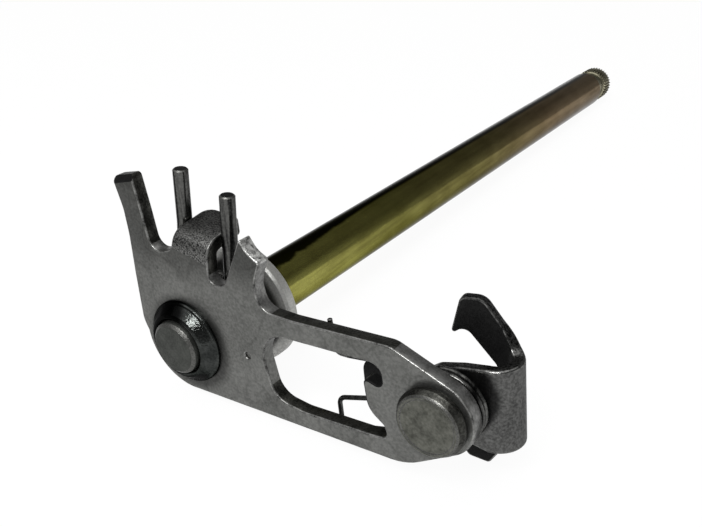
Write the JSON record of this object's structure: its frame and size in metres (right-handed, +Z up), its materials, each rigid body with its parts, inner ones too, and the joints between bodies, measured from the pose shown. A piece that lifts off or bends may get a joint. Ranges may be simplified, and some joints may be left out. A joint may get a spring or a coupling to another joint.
{
  "type": "gear shift shaft",
  "caption": "Gear shift shaft with a stamped arm and window, a return spring gripping a bent tab, and a folded claw that pivots on a rivet.",
  "frame": {"origin": "middle of the box's base, on the surface that the shaft lies on", "axes": "+Y along the shaft towards its splined end, +X towards the claw, +Z up; the shaft dips 1.8 degrees towards the splined end, because the arm lifts its front"},
  "size_m": [0.0776, 0.224, 0.0448],
  "materials": {
    "stamped_steel": "satin",
    "pawl_steel": "satin",
    "collar_steel": "satin",
    "yellow_zinc": "gloss",
    "spring_steel": "gloss"
  },
  "bodies": {
    "shaft_assembly": {"shift_shaft": "yellow_zinc", "front_boss": "pawl_steel", "shift_arm": "stamped_steel", "return_spring": "spring_steel", "spring_collar": "collar_steel", "pawl_rivet": "stamped_steel", "pawl_spring": "spring_steel"},
    "pawl": {"shift_pawl": "pawl_steel"}
  },
  "joints": [
    {"name": "pawl_pivot", "type": "hinge", "parent": "shaft_assembly", "child": "pawl", "pos_m": [0.02783, -0.10081, 0.01555], "axis": [0, 0.9995, -0.0322], "range_deg": [-10, 10], "stiffness_Nm_per_rad": 0.15}
  ]
}
